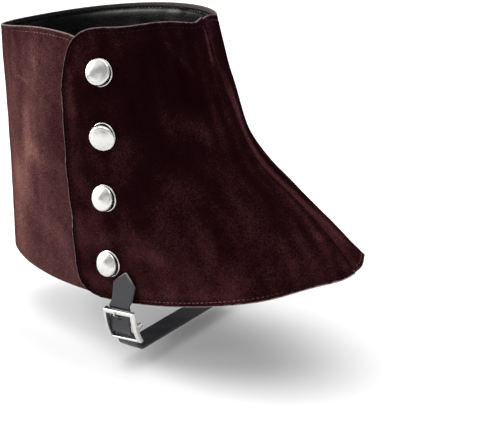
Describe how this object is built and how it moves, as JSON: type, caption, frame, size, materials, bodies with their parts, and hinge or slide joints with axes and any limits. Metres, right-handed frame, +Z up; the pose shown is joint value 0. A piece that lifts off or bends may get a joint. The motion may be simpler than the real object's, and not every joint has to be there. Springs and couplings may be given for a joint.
{
  "type": "spat",
  "caption": "Spat for the right foot in worn form: lined suede panels that flare from ankle to instep, a flap closed by snaps on the outer side, and a buckled strap under the arch.",
  "frame": {"origin": "the middle of the wearer's ankle, inside the spat, 110 mm above the ground and 75 mm in front of the back of the heel", "axes": "+X to the toes, +Y to the inner side of the foot, +Z up"},
  "size_m": [0.2344, 0.1102, 0.1774],
  "materials": {
    "suede": "oxblood suede, napped",
    "lining": "black lining leather, grained",
    "strap": "black leather, matte",
    "nickel": "polished nickel plate"
  },
  "bodies": {
    "root": {"outer_front_panel": "suede", "outer_back_panel": "suede", "inner_panel": "suede", "outer_front_lining": "lining", "outer_back_lining": "lining", "inner_lining": "lining", "instep_strap": "strap", "buckle_tab": "strap", "buckle_frame": "nickel", "buckle_prong": "nickel", "snap_cap_1": "nickel", "snap_cap_2": "nickel", "snap_cap_3": "nickel", "snap_cap_4": "nickel", "snap_stud_1": "nickel", "snap_stud_2": "nickel", "snap_stud_3": "nickel", "snap_stud_4": "nickel"}
  },
  "joints": []
}
